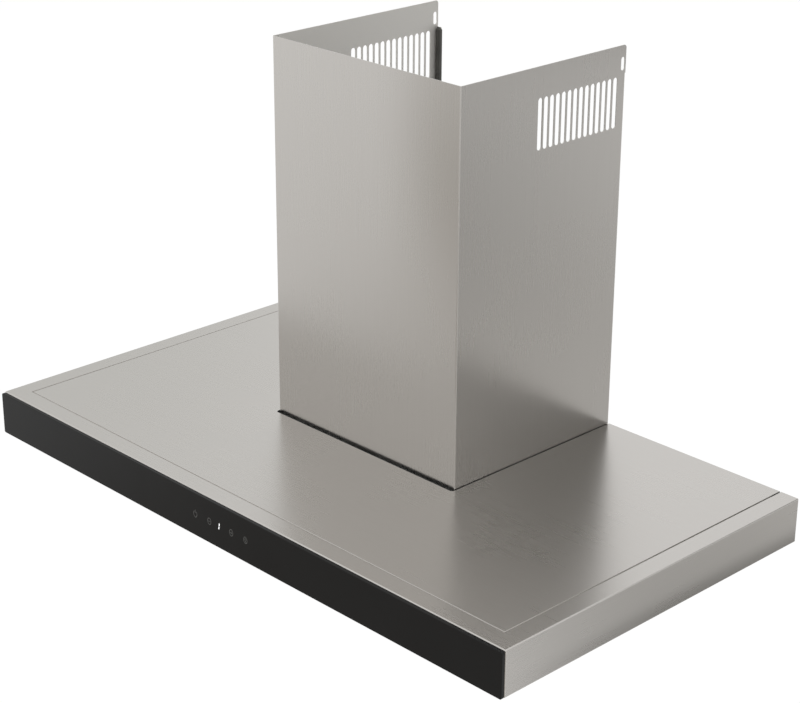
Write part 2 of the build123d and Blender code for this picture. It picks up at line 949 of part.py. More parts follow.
def blade_outline():
    """Section of one forward-curved blade between the inner and outer radius of the wheel."""
    inner = wheel_radius - blade_depth
    outer = wheel_radius - edge_break
    middle = (inner + outer) / 2

    def point(radius, angle, shift):
        turn = math.radians(angle) + shift / radius
        return (radius * math.cos(turn), radius * math.sin(turn))

    lower = ThreePointArc(point(inner, 0, 0), point(middle, blade_sweep / 4, 0), point(outer, blade_sweep, 0))
    upper = ThreePointArc(
        point(inner, 0, blade_thickness),
        point(middle, blade_sweep / 4, blade_thickness),
        point(outer, blade_sweep, blade_thickness),
    )
    return make_face(lower + Line(lower @ 1, upper @ 1) + upper + Line(upper @ 0, lower @ 0))


def make_fan_wheel():
    """Double-inlet wheel: blades between two end rings, a middle disc and a hub."""
    half = wheel_width / 2
    blade = blade_outline()
    blades = [
        fan_prism(Rot(0, 0, 360 * index / blade_count) * blade, -half + wheel_ring / 2, half - wheel_ring / 2)
        for index in range(blade_count)
    ]
    disc = rod_x(-wheel_disc / 2, wheel_disc / 2, fan_axis_y, fan_axis_z, wheel_radius)
    rings = []
    for x0 in (-half, half - wheel_ring):
        ring = rod_x(x0, x0 + wheel_ring, fan_axis_y, fan_axis_z, wheel_radius)
        rings.append(
            ring - rod_x(x0 - 1, x0 + wheel_ring + 1, fan_axis_y, fan_axis_z, wheel_radius - blade_depth)
        )
    hub = rod_x(wheel_disc - hub_length, wheel_disc, fan_axis_y, fan_axis_z, hub_radius)
    wheel = disc + hub + rings + blades
    return wheel - rod_x(-hub_length, hub_length, fan_axis_y, fan_axis_z, shaft_radius)


def make_motor_shaft():
    """Shaft from the wheel's hub into the motor."""
    inner_end = motor_gap + motor_bore_depth - 1
    return rod_x(-shaft_inner_end, inner_end, fan_axis_y, fan_axis_z, shaft_radius)


def make_motor():
    """Motor can inside the right half of the wheel, with a bearing boss and a rear flange."""
    can = rod_x(motor_gap, motor_end_x, fan_axis_y, fan_axis_z, motor_radius)
    boss = rod_x(motor_gap - motor_boss_length, motor_gap, fan_axis_y, fan_axis_z, motor_boss_radius)
    flange_x = bracket_x + bracket_thickness
    flange = rod_x(
        flange_x, flange_x + motor_flange_thickness, fan_axis_y, fan_axis_z, motor_flange_radius
    )
    bore = rod_x(0, motor_gap + motor_bore_depth, fan_axis_y, fan_axis_z, shaft_radius + shaft_clearance)
    return can + boss + flange - bore


def make_motor_bracket():
    """Ring around the motor with three arms that reach the rubber bushes."""
    x0 = bracket_x
    x1 = bracket_x + bracket_thickness
    ring_radius = motor_radius + bracket_ring
    bracket = rod_x(x0, x1, fan_axis_y, fan_axis_z, ring_radius)
    arms = []
    holes = []
    for y, z, angle in bush_places():
        arm = Rectangle(bush_circle, bracket_arm_width, align=(Align.MIN, Align.CENTER))
        arms.append(fan_prism(Rot(0, 0, angle) * arm, x0, x1))
        arms.append(rod_x(x0, x1, y, z, bracket_arm_width / 2))
        holes.append(rod_x(x0 - 1, x1 + 1, y, z, screw_hole_radius))
    bore = rod_x(x0 - 1, x1 + 1, fan_axis_y, fan_axis_z, motor_radius + bracket_clearance)
    return bracket + arms - holes - bore


def make_motor_bushes():
    """Rubber bushes between the bracket arms and the right side plate."""
    x0 = scroll_half + scroll_sheet
    return Compound(
        children=[
            rod_x(x0, bracket_x, y, z, bush_radius) - rod_x(x0 - 1, bracket_x + 1, y, z, screw_hole_radius)
            for y, z, angle in bush_places()
        ]
    )


def make_motor_screws():
    """Screws through the bracket arms and the bushes."""
    x1 = bracket_x + bracket_thickness
    x0 = scroll_half - screw_end_reach / 2
    return Compound(
        children=[
            rod_x(x0, x1, y, z, screw_radius) + rod_x(x1, x1 + screw_head_height, y, z, screw_head_radius)
            for y, z, angle in bush_places()
        ]
    )


def make_outlet_collar():
    """Duct spigot on the blower box, with a stop ring for the damper flaps."""
    flange = rod_z(0, collar_y, box_top_z, box_top_z + collar_flange_thickness, collar_flange_radius)
    spigot = rod_z(0, collar_y, box_top_z, box_top_z + collar_height, collar_radius)
    bore_radius = collar_radius - collar_wall
    bore = rod_z(0, collar_y, box_top_z - 1, box_top_z + collar_height + 1, bore_radius)
    stop_low = box_top_z + stop_ring_height
    stop = rod_z(0, collar_y, stop_low, stop_low + stop_ring_thickness, bore_radius)
    stop -= rod_z(0, collar_y, stop_low - 1, stop_low + stop_ring_thickness + 1, bore_radius - stop_ring_width)
    pin_holes = [
        rod_x(
            -collar_radius - 1,
            collar_radius + 1,
            collar_y + way * flap_axis_offset,
            flap_z,
            flap_pin_radius + flap_pin_clearance,
        )
        for way in (-1, 1)
    ]
    screw_holes = [
        rod_z(x, y, box_top_z - 1, box_top_z + collar_flange_thickness + 1, screw_hole_radius)
        for x, y in collar_screw_places
    ]
    return flange + spigot - bore + stop - pin_holes - screw_holes


def make_damper_flap(way):
    """Half-round flap on a knuckle whose two pins turn in the collar's wall."""
    low = box_top_z + stop_ring_height + stop_ring_thickness + flap_seat_gap
    high = low + flap_thickness
    radius = collar_radius - collar_wall - flap_edge_clearance
    axis_y = collar_y + way * flap_axis_offset
    far_y = collar_y + way * 2 * radius
    plate = rod_z(0, collar_y, low, high, radius)
    plate &= span(-2 * radius, 2 * radius, min(axis_y, far_y), max(axis_y, far_y), low - 1, high + 1)
    knuckle_half = radius - stop_ring_width - flap_knuckle_end_gap
    knuckle = rod_x(-knuckle_half, knuckle_half, axis_y, flap_z, flap_knuckle_radius)
    pin_half = math.sqrt(collar_radius**2 - flap_axis_offset**2) - flap_pin_end_gap
    pin = rod_x(-pin_half, pin_half, axis_y, flap_z, flap_pin_radius)
    return plate + knuckle + pin


def make_collar_screws():
    """Screws through the collar's flange, the top of the box and the scroll's flange."""
    high = box_top_z + collar_flange_thickness
    low = box_top_z - box_sheet - scroll_flange - screw_end_reach
    return Compound(
        children=[
            rod_z(x, y, low, high, screw_radius)
            + rod_z(x, y, high, high + screw_head_height, screw_head_radius)
            for x, y in collar_screw_places
        ]
    )


def make_box_screws():
    """Screws through the feet of the blower box, the gasket and the deck."""
    high = box_foot_z + box_sheet
    low = deck_under_z - screw_end_reach
    return Compound(
        children=[
            rod_z(side * box_screw_x, y, low, high, screw_radius)
            + rod_z(side * box_screw_x, y, high, high + screw_head_height, screw_head_radius)
            for side in (-1, 1)
            for y in box_screw_ys
        ]
    )


def make_cable_gland():
    """Gland body in the top of the blower box, open along its middle."""
    collar_high = box_top_z + gland_collar_height
    body = rod_z(gland_x, gland_y, box_top_z, collar_high, gland_collar_radius)
    body += rod_z(gland_x, gland_y, collar_high, collar_high + gland_cap_height, gland_cap_radius)
    body += rod_z(gland_x, gland_y, box_top_z - gland_thread_length, box_top_z, gland_thread_radius)
    bore = rod_z(
        gland_x,
        gland_y,
        box_top_z - gland_thread_length - 1,
        collar_high + gland_cap_height + 1,
        gland_bore_radius,
    )
    return body - bore


def make_gland_nut():
    """Hexagon nut on the gland's thread, under the top of the box."""
    high = box_top_z - box_sheet
    hexagon = RegularPolygon(gland_nut_width / 2, 6, major_radius=False)
    nut = Pos(gland_x, gland_y, high - gland_nut_height) * extrude(hexagon, amount=gland_nut_height)
    bore_radius = gland_thread_radius + shaft_clearance
    return nut - rod_z(gland_x, gland_y, high - gland_nut_height - 1, high + 1, bore_radius)


def make_chimney_cover():
    """U-shaped cover with rear flanges, vent slots and fixing slots."""
    half = chimney_width / 2
    flange_top_z = chimney_top_z - flange_drop
    lower = span(-half, half, -chimney_depth, 0, chimney_foot_z, flange_top_z)
    lower = fillet(lower.edges().filter_by(Axis.Z), bend_radius)
    lower -= span(
        -half + sheet, half - sheet, -chimney_depth + sheet, -sheet, chimney_foot_z - 1, flange_top_z + 1
    )
    rear_gap = half - chimney_flange
    lower -= span(-rear_gap, rear_gap, -sheet - 1, 1, chimney_foot_z - 1, flange_top_z + 1)
    upper = span(-half, half, -chimney_depth, 0, flange_top_z, chimney_top_z)
    upper = fillet(
        upper.edges().filter_by(Axis.Z).filter_by(lambda edge: edge.center().Y < -1), bend_radius
    )
    upper -= span(
        -half + sheet, half - sheet, -chimney_depth + sheet, 1, flange_top_z - 1, chimney_top_z + 1
    )
    upper = fillet(
        upper.edges()
        .filter_by(Axis.X)
        .filter_by(lambda edge: abs(edge.center().Y) < 0.01 and abs(edge.center().Z - chimney_top_z) < 0.01),
        tab_corner_radius,
    )
    vent = SlotOverall(vent_length, vent_width, rotation=90)
    fixing = SlotOverall(fixing_slot_length, fixing_slot_width, rotation=90)
    vent_z = chimney_top_z - vent_drop - vent_length / 2
    fixing_z = chimney_top_z - fixing_slot_drop - fixing_slot_length / 2
    cuts = [Pos(-vent_rear - index * vent_pitch, vent_z) * vent for index in range(vent_count)]
    cuts.append(Pos(-fixing_slot_rear, fixing_z) * fixing)
    slots = [extrude(Plane.YZ * cut, amount=chimney_width, both=True) for cut in cuts]
    return lower + upper - slots


def make_edge_trim(side):
    """Black profile pushed on the rear flange of the chimney cover, bevelled on top."""
    half = chimney_width / 2
    outer = half - sheet
    free = half - chimney_flange - trim_lip
    low = chimney_foot_z + trim_foot_gap
    high = chimney_top_z - flange_drop
    front = -sheet - trim_thickness
    block = span(free, outer, front, 0, low, high)
    top_edges = block.edges().filter_by(lambda edge: abs(edge.center().Z - high) < 0.01)
    bevelled = top_edges.filter_by(
        lambda edge: abs(edge.center().X - free) < 0.01 or abs(edge.center().Y - front) < 0.01
    )
    trim = chamfer(bevelled, trim_chamfer)
    trim -= span(half - chimney_flange, half, -sheet, 1, low - 1, high + 1)
    if side < 0:
        trim = mirror(trim, Plane.YZ)
    return trim


def make_lamp_leads():
    """Straight leads from the rims of the two heat sinks to the sides of the power box."""
    z = floor_top_z + lead_height
    reach = lamp_x - lamp_barrel_radius
    left = rod_x(-reach, power_left, lamp_y, z, lead_radius)
    right = rod_x(power_left + power_length, reach, lamp_y, z, lead_radius)
    return Compound(children=[left, right])


def make_motor_lead():
    """Lead from the power box through the deck's opening to the end of the motor."""
    y0 = -(canopy_depth - power_front_gap) + power_depth
    z0 = floor_top_z + lead_height
    route = FilletPolyline(
        (motor_lead_x, y0, z0),
        (motor_lead_x, fan_axis_y, z0),
        (motor_lead_x, fan_axis_y, fan_axis_z),
        (motor_end_x, fan_axis_y, fan_axis_z),
        radius=motor_lead_bend,
    )
    section = Plane(origin=route @ 0, z_dir=route % 0) * Circle(lead_radius)
    return sweep(section, path=route)


def make_touch_ribbon():
    """Flat lead from the touch housing to the power box."""
    middle_z = floor_top_z + lead_height
    return span(
        ribbon_x - ribbon_width / 2,
        ribbon_x + ribbon_width / 2,
        glass_back_y + touch_depth,
        -(canopy_depth - power_front_gap),
        middle_z - ribbon_thickness / 2,
        middle_z + ribbon_thickness / 2,
    )


parts = {
    "canopy_shell": make_canopy_shell(),
    "top_panel": make_top_panel(),
    "rear_panel": make_rear_panel(),
    "underside_panel": make_underside_panel(),
    "front_glass": make_front_glass(),
    "glass_tape": make_glass_tape(),
    "touch_housing": make_touch_housing(),
    "touch_board": make_touch_board(),
    "touch_sensors": make_touch_sensors(),
    "digit_display": make_digit_display(),
    "filter_catches": make_filter_catches(),
    "lamp_clips": make_lamp_clips(),
    "power_box": make_power_box(),
    "power_lid": make_power_lid(),
    "power_board": make_power_board(),
    "motor_capacitor": make_capacitor(),
    "blower_deck": make_blower_deck(),
    "blower_gasket": make_blower_gasket(),
    "box_top": make_box_top(),
    "box_walls": make_box_walls(),
    "box_ends": pair(make_box_end),
    "box_screws": make_box_screws(),
    "scroll_wrapper": make_scroll_wrapper(),
    "scroll_side_left": make_scroll_side(-1),
    "scroll_side_right": make_scroll_side(1),
    "fan_wheel": make_fan_wheel(),
    "motor_shaft": make_motor_shaft(),
    "motor": make_motor(),
    "motor_bracket": make_motor_bracket(),
    "motor_bushes": make_motor_bushes(),
    "motor_screws": make_motor_screws(),
    "outlet_collar": make_outlet_collar(),
    "collar_screws": make_collar_screws(),
    "damper_flap_front": make_damper_flap(-1),
    "damper_flap_rear": make_damper_flap(1),
    "cable_gland": make_cable_gland(),
    "gland_nut": make_gland_nut(),
    "chimney_cover": make_chimney_cover(),
    "edge_trims": pair(make_edge_trim),
    "lamp_leads": make_lamp_leads(),
    "motor_lead": make_motor_lead(),
    "touch_ribbon": make_touch_ribbon(),
}
for name, x in zip(filter_names, aperture_centres):
    parts["filter_frame_" + name] = make_filter_frame(x)
    parts["filter_mesh_" + name] = make_filter_mesh(x)
    parts["filter_pull_" + name] = make_filter_pull(x)
for name, side in (("left", -1), ("right", 1)):
    parts["lamp_bezel_" + name] = make_lamp_bezel(side)
    parts["lamp_lens_" + name] = make_lamp_lens(side)
    parts["lamp_board_" + name] = make_lamp_board(side)
    parts["lamp_sink_" + name] = make_lamp_sink(side)

os.makedirs("parts", exist_ok=True)
for name, shape in parts.items():
    export_step(shape, "parts/" + name + ".step")
    box = shape.bounding_box()
    print(name, len(shape.solids()), "solids, low corner", box.min, "high corner", box.max)
print("fan axis", fan_axis_y, fan_axis_z, "collar", collar_y, box_top_z, "flap axis", flap_z)
print("filter pivot", stud_y, stud_z, "filter centres", aperture_centres)
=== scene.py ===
# %% [markdown]
# # A canopy range hood in brushed steel and black glass
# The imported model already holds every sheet, screw and filter in its place, so this lesson adds only
# looks. It loads the model, sets a camera where the photograph was taken, builds a plain studio, and then
# gives each piece the finish of its real material. The few things that are too fine for solid modelling,
# such as the filter mesh and the signs on the glass, are worked out as surfaces with numpy.

import json
import math

import bpy
import numpy as np
from mathutils import Matrix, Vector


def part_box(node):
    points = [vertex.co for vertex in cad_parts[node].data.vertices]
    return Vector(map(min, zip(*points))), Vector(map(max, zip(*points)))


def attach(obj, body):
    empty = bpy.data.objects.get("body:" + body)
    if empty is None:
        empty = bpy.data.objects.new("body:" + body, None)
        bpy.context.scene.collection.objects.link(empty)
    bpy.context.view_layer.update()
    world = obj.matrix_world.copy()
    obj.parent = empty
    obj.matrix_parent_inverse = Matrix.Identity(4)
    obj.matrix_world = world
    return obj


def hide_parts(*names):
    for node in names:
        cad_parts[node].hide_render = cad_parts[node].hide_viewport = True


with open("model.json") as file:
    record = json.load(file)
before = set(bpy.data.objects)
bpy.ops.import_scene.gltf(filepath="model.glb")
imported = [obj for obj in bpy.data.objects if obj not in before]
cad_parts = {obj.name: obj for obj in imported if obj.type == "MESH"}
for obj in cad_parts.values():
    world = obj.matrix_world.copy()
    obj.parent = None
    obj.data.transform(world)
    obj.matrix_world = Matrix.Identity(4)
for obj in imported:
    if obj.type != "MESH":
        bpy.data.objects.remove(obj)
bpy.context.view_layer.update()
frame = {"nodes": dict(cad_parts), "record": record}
scene = bpy.context.scene
MM = 0.001
slot_of = {row["node"]: row["material_slot"] for row in frame["record"]["subparts"]}

# %% [markdown]
# ## The camera
# A product picture is taken with a long lens from a few metres away, so that upright edges stay nearly
# The angles and the distance below come from matching the corners of the canopy and of the
# chimney to the photograph. The camera's axes are worked out from azimuth, elevation and roll,
# because then each number has a plain meaning.

# %% Camera
azimuth = math.radians(45.99)
elevation = math.radians(22.55)
roll = math.radians(0.31)
distance = 2.4312
aim = np.array([0.0, -0.25, 0.2715])
side_step = 0.0244
rise_step = -0.1122
focal_pixels = 2041.6
image_width = 800
sensor_width = 36.0


def placed(across, over, away, place):
    """Matrix that puts an object at a place, with its x, y and z axes along three directions."""
    return Matrix([*np.column_stack([across, over, away, place]).tolist(), [0, 0, 0, 1]])


back = np.array(
    [
        math.sin(azimuth) * math.cos(elevation),
        -math.cos(azimuth) * math.cos(elevation),
        math.sin(elevation),
    ]
)
level = np.array([math.cos(azimuth), math.sin(azimuth), 0.0])
upright = np.cross(back, level)
right = level * math.cos(roll) + upright * math.sin(roll)
up = upright * math.cos(roll) - level * math.sin(roll)
eye = aim + back * distance + right * side_step + up * rise_step

camera_data = bpy.data.cameras.new("photo_camera")
camera_data.sensor_width = sensor_width
camera_data.lens = focal_pixels * sensor_width / image_width
camera = bpy.data.objects.new("photo_camera", camera_data)
scene.collection.objects.link(camera)
camera.matrix_world = placed(right, up, back, eye)
scene.camera = camera
scene.view_settings.view_transform = "Standard"
print("lens", round(camera_data.lens, 2), "mm, camera at", eye.round(3))

# %% [markdown]
# ## Small helpers for materials
# Colours are written as the hex values that a paint chart or a picture editor shows, and Blender's shaders
# want linear light, so one function converts them. Another adds a node, sets its own options, and fills
# each input with a plain value or with a link from another node. The others start an empty material or one
# with a Principled shader, and set the two ends of a colour ramp.

# %% Colour and node helpers
def linear(hex_code):
    """sRGB to linear: a channel c is divided by 12.92 if small, else ((c + 0.055) / 1.055) ** 2.4."""
    channel = np.array([int(hex_code[i : i + 2], 16) for i in (1, 3, 5)]) / 255
    light = np.where(channel <= 0.04045, channel / 12.92, ((channel + 0.055) / 1.055) ** 2.4)
    return (*map(float, light), 1.0)


def add(tree, kind, inputs=None, **settings):
    """Adds one node. Settings are its own options, and an input gets a value or another node's output."""
    made = tree.nodes.new(kind)
    for key, value in settings.items():
        setattr(made, key, value)
    for key, value in (inputs or {}).items():
        if isinstance(value, bpy.types.NodeSocket):
            tree.links.new(value, made.inputs[key])
        else:
            made.inputs[key].default_value = value
    return made


def empty_material(name):
    """A material whose node tree is still empty."""
    material = bpy.data.materials.new(name)
    material.use_nodes = True
    material.node_tree.nodes.clear()
    return material, material.node_tree


def start_material(name, **values):
    """A material with one Principled shader. Values that are the same all over go on its sockets."""
    material, tree = empty_material(name)
    sockets = {key.replace("_", " "): value for key, value in values.items()}
    shader = add(tree, "ShaderNodeBsdfPrincipled", sockets)
    add(tree, "ShaderNodeOutputMaterial", {"Surface": shader.outputs["BSDF"]})
    spot = add(tree, "ShaderNodeTexCoord")
    return material, tree, shader, spot


def set_tones(ramp, dark, light, start=0.0, end=1.0):
    """Lets a colour ramp run from a dark to a light tone between two positions."""
    for stop, position, tone in zip(ramp.color_ramp.elements, (start, end), (dark, light)):
        stop.position = position
        stop.color = linear(tone)


print("steel grey in linear light", [round(c, 3) for c in linear("#C4C1BD")])

# %% [markdown]
# ## The studio
# The photograph has a pure white ground with no visible shadow. A hood hangs high on a wall, so the floor
# is put 1.8 m under it, which leaves only a trace of shadow. The ground is made white for the rays that
# the camera, metal and glass send out, and the diffuse light is kept at a plain level, so that a colour
# renders about as it is written. Three large soft lamps give the shading its direction, and mirror rays
# pass through them, so that no lamp shows as a bright patch in the steel.

# %% World and floor
FLOOR_Z = -1.8
FLOOR_REACH = 20.0
AMBIENT_LIGHT = 0.62
FLOOR_GLOW = 1.04
GLOW_SHARE = 0.93


def seen_directly(tree):
    """1 for camera, glossy and transmission rays, and 0 for the rays that carry diffuse light."""
    path = add(tree, "ShaderNodeLightPath")
    pair = {0: path.outputs["Is Camera Ray"], 1: path.outputs["Is Glossy Ray"]}
    first = add(tree, "ShaderNodeMath", pair, operation="MAXIMUM")
    pair = {0: first.outputs[0], 1: path.outputs["Is Transmission Ray"]}
    return add(tree, "ShaderNodeMath", pair, operation="MAXIMUM").outputs[0]


def mesh_piece(name, points, faces, material):
    """A mesh object at the origin from an array of points and an array of faces."""
    mesh = bpy.data.meshes.new(name)
    mesh.from_pydata(np.reshape(points, (-1, 3)), [], np.asarray(faces))
    mesh.materials.append(material)
    mesh.update()
    piece = bpy.data.objects.new(name, mesh)
    scene.collection.objects.link(piece)
    return piece


world = bpy.data.worlds.new("studio")
scene.world = world
world.use_nodes = True
tree = world.node_tree
tree.nodes.clear()
ambient = add(tree, "ShaderNodeBackground", {"Color": linear("#FFFFFF"), "Strength": AMBIENT_LIGHT})
white = add(tree, "ShaderNodeBackground", {"Color": linear("#FFFFFF"), "Strength": 1.0})
inputs = {0: seen_directly(tree), 1: ambient.outputs[0], 2: white.outputs[0]}
mixed = add(tree, "ShaderNodeMixShader", inputs)
add(tree, "ShaderNodeOutputWorld", {"Surface": mixed.outputs[0]})

floor_paint, tree = empty_material("pale_painted_floor")
paint = add(tree, "ShaderNodeBsdfDiffuse", {"Color": linear("#F4F3F0")})
glow = add(tree, "ShaderNodeEmission", {"Color": linear("#FFFFFF"), "Strength": FLOOR_GLOW})
share = add(tree, "ShaderNodeMath", {0: seen_directly(tree), 1: GLOW_SHARE}, operation="MULTIPLY")
inputs = {0: share.outputs[0], 1: paint.outputs[0], 2: glow.outputs[0]}
mixed = add(tree, "ShaderNodeMixShader", inputs)
add(tree, "ShaderNodeOutputMaterial", {"Surface": mixed.outputs[0]})
corners = np.array([[-1, -1], [1, -1], [1, 1], [-1, 1]]) * FLOOR_REACH
floor_points = np.column_stack([corners, np.full(4, FLOOR_Z)])
floor = mesh_piece("studio_floor", floor_points, [[0, 1, 2, 3]], floor_paint)
print("floor at", FLOOR_Z, "m")

# %% Lamps
def unit(vector):
    """The vector divided by its length."""
    return np.array(vector, float) / np.linalg.norm(vector)


# Each lamp's place, the side of its square in metres, and its power in watts
lamps = {
    "key_softbox": ((1.7, -3.1, 3.0), 3.0, 44.0),
    "fill_softbox": ((-3.4, -0.5, 2.6), 3.0, 24.0),
    "rear_softbox": ((0.6, 3.2, 3.2), 3.0, 20.0),
}
for name, (place, side, power) in lamps.items():
    lamp_data = bpy.data.lights.new(name, "AREA")
    lamp_data.size = side
    lamp_data.energy = power
    lamp = bpy.data.objects.new(name, lamp_data)
    lamp.visible_glossy = False
    scene.collection.objects.link(lamp)
    away = unit(np.array(place) - aim)
    across = unit(np.cross([0, 0, 1], away))
    lamp.matrix_world = placed(across, np.cross(away, across), away, place)
print("lamps", list(lamps))

# %% [markdown]
# ## Grey cards for the steel to mirror
# Steel shows what stands round it. In a pure white room it would look flat, so photographers stand grey
# cards just outside the picture. Six lie on the floor: two under the front darken the glass and the front
# of the chimney, one beside the camera dims the bright line on the upright folds, and three behind on the
# right darken the right-hand walls. Two stand up: one behind on the right, for the chimney's mirror image
# in the top panel, and a pale one on the left that shades the top panel itself. Each card is a round disc
# whose cover fades out towards its rim, so that its edge draws no line in the metal. Only mirror rays see
# it.

# %% Grey cards
CARD_RINGS = 25
CARD_TURNS = 49
UPWARD = (0, 0, 1)
# A direction that no card faces, from which the two axes of a card's disc are worked out
SLANTED = (0.3, 0.5, 0.8)


def soft_card(name, centre, facing, radius, soft, tone):
    """Disc on a polar grid: centre + r (u cos t + v sin t). Over the soft outer share of its radius, its
    cover falls from 1 to 0 as the smooth step 3 f f - 2 f f f."""
    first = unit(np.cross(unit(facing), SLANTED))
    second = np.cross(unit(facing), first)
    reach = np.linspace(0.0, 1.0, CARD_RINGS)[:, None, None]
    turn = np.linspace(0.0, 2 * np.pi, CARD_TURNS)[None, :, None]
    points = np.array(centre) + radius * reach * (first * np.cos(turn) + second * np.sin(turn))
    index = np.arange(CARD_RINGS * CARD_TURNS).reshape(CARD_RINGS, CARD_TURNS)
    faces = np.stack([index[:-1, :-1], index[1:, :-1], index[1:, 1:], index[:-1, 1:]], -1)
    felt, tree = empty_material(name + "_felt")
    grey = add(tree, "ShaderNodeEmission", {"Color": linear(tone), "Strength": 1.0})
    clear = add(tree, "ShaderNodeBsdfTransparent")
    cover = add(tree, "ShaderNodeAttribute", attribute_name="cover")
    inputs = {0: cover.outputs["Fac"], 1: clear.outputs[0], 2: grey.outputs[0]}
    mixed = add(tree, "ShaderNodeMixShader", inputs)
    add(tree, "ShaderNodeOutputMaterial", {"Surface": mixed.outputs[0]})
    card = mesh_piece(name, points, faces.reshape(-1, 4), felt)
    fade = np.clip((1.0 - np.broadcast_to(reach, (CARD_RINGS, CARD_TURNS, 1)).ravel()) / soft, 0, 1)
    attribute = card.data.attributes.new("cover", "FLOAT", "POINT")
    attribute.data.foreach_set("value", (fade * fade * (3 - 2 * fade)).astype(np.float32))
    card.visible_camera = False
    card.visible_diffuse = False
    card.visible_shadow = False


# Each card's centre, facing, radius, soft share and tone; those on the floor lie a few centimetres over it
cards = {
    "low_card": ((-0.45, -2.7, FLOOR_Z + 0.05), UPWARD, 3.7, 0.53, "#9B938A"),
    "front_card": ((-2.2, -6.75, FLOOR_Z + 0.10), UPWARD, 4.9, 1.0, "#AFAAA2"),
    "near_card": ((3.9, -3.6, FLOOR_Z + 0.02), UPWARD, 4.6, 0.5, "#BFBCB7"),
    "side_card": ((3.75, 3.45, FLOOR_Z + 0.05), UPWARD, 2.35, 0.95, "#B8B5B0"),
    "corner_card": ((1.37, 2.0, FLOOR_Z + 0.15), UPWARD, 0.92, 0.2, "#61605C"),
    "far_card": ((6.7, 3.3, FLOOR_Z + 0.10), UPWARD, 3.75, 0.5, "#91918F"),
    "rear_card": ((0.9, 0.87, 0.69), (-0.7, -0.7, 0), 0.62, 0.78, "#3A382F"),
    "left_card": ((-4.75, 2.1, 1.65), (0.9, -0.35, -0.2), 2.3, 0.8, "#E3E4E2"),
}
for name, values in cards.items():
    soft_card(name, *values)
print("cards", list(cards))

# %% [markdown]
# ## Brushed stainless steel
# The canopy, its underside and the chimney cover are stainless sheet, drawn under a fine abrasive belt.
# The eye sees a warm pale grey mirror, blurred by thousands of scratches that all run one way. A real
# scratch is about a tenth of a millimetre wide, too fine for the picture, so the lines are drawn 1.2 mm
# wide and very faint. They run along the width on the canopy, along the depth on its side walls, and
# upright on the chimney. A slow cloudy pattern shifts the roughness a little, as on any real sheet.

# %% Brushed stainless steel
LINE_WIDTH_MM = 1.2
LINE_LENGTH_MM = 140.0
LINE_DEPTH_MM = 0.01
CLOUD_MM = 160.0
# A wall counts as facing along an axis when more than this share of its normal lies along it
FACING_SHARE = 0.7


def line_pattern(tree, spot, lengthwise):
    """Noise squeezed to lines: its period is long along one axis and a line's width along the others."""
    period = [LINE_LENGTH_MM if axis == lengthwise else LINE_WIDTH_MM for axis in "xyz"]
    scale = tuple(1 / (MM * size) for size in period)
    squeezed = add(tree, "ShaderNodeMapping", {"Vector": spot.outputs["Object"], "Scale": scale})
    inputs = {"Vector": squeezed.outputs[0], "Scale": 1.0, "Detail": 2.0, "Roughness": 0.6}
    return add(tree, "ShaderNodeTexNoise", inputs).outputs[0]


def faces_sideways(tree, spot):
    """1 on the walls that face left or right, and 0 elsewhere."""
    facing = add(tree, "ShaderNodeSeparateXYZ", {0: spot.outputs["Normal"]})
    size = add(tree, "ShaderNodeMath", {0: facing.outputs["X"]}, operation="ABSOLUTE")
    pair = {0: size.outputs[0], 1: FACING_SHARE}
    return add(tree, "ShaderNodeMath", pair, operation="GREATER_THAN").outputs[0]


def brushed_steel(name, lengthwise, on_sides):
    """Metal whose lines run along one axis, and along another on the walls that face left and right."""
    material, tree, shader, spot = start_material(name, Metallic=1.0)
    lines = line_pattern(tree, spot, lengthwise)
    if on_sides != lengthwise:
        side_lines = line_pattern(tree, spot, on_sides)
        inputs = {"Factor": faces_sideways(tree, spot), "A": lines, "B": side_lines}
        lines = add(tree, "ShaderNodeMix", inputs).outputs[0]
    inputs = {"Vector": spot.outputs["Object"], "Scale": 1 / (MM * CLOUD_MM), "Detail": 3.0}
    cloud = add(tree, "ShaderNodeTexNoise", inputs)
    tint = add(tree, "ShaderNodeValToRGB", {0: lines})
    set_tones(tint, "#C4C1BD", "#C6C3BF", 0.3, 0.7)
    rough = add(tree, "ShaderNodeMapRange", {"Value": lines, "To Min": 0.27, "To Max": 0.28})
    haze = add(tree, "ShaderNodeMapRange", {"Value": cloud.outputs[0], "To Min": -0.012, "To Max": 0.012})
    both = add(tree, "ShaderNodeMath", {0: rough.outputs[0], 1: haze.outputs[0]}, operation="ADD")
    inputs = {"Height": lines, "Strength": 0.005, "Distance": LINE_DEPTH_MM * MM}
    bump = add(tree, "ShaderNodeBump", inputs)
    tree.links.new(tint.outputs[0], shader.inputs["Base Color"])
    tree.links.new(both.outputs[0], shader.inputs["Roughness"])
    tree.links.new(bump.outputs[0], shader.inputs["Normal"])
    return material, tree, shader, spot, bump


canopy_steel, canopy_tree, _, canopy_spot, canopy_bump = brushed_steel("brushed_stainless_sheet", "x", "y")
chimney_steel, tree, shader, spot, bump = brushed_steel("brushed_stainless_upright", "z", "z")
print("made", canopy_steel.name, chimney_steel.name)

# %% [markdown]
# ### Bowed sheet beside the folds
# A sheet is never quite flat next to a fold. The brake leaves it slightly bowed over some centimetres, and
# the mirror image bends with it. The chimney's front leans towards its right-hand fold, by a smooth step
# that starts near the middle and another that grows with the height. The canopy's end walls lean down over
# their lower half. Only the normals lean, because the bow itself would be too small to see.

# %% Bowed sheet
FRONT_LEAN = 0.22
FRONT_START_X = 0.01
FRONT_PAST_FOLD = 0.03
FRONT_START_Z = 0.18
FRONT_END_Z = 0.48
END_LEAN = -0.055
cover_low, cover_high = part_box("chimney_cover")
shell_low, shell_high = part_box("canopy_shell")


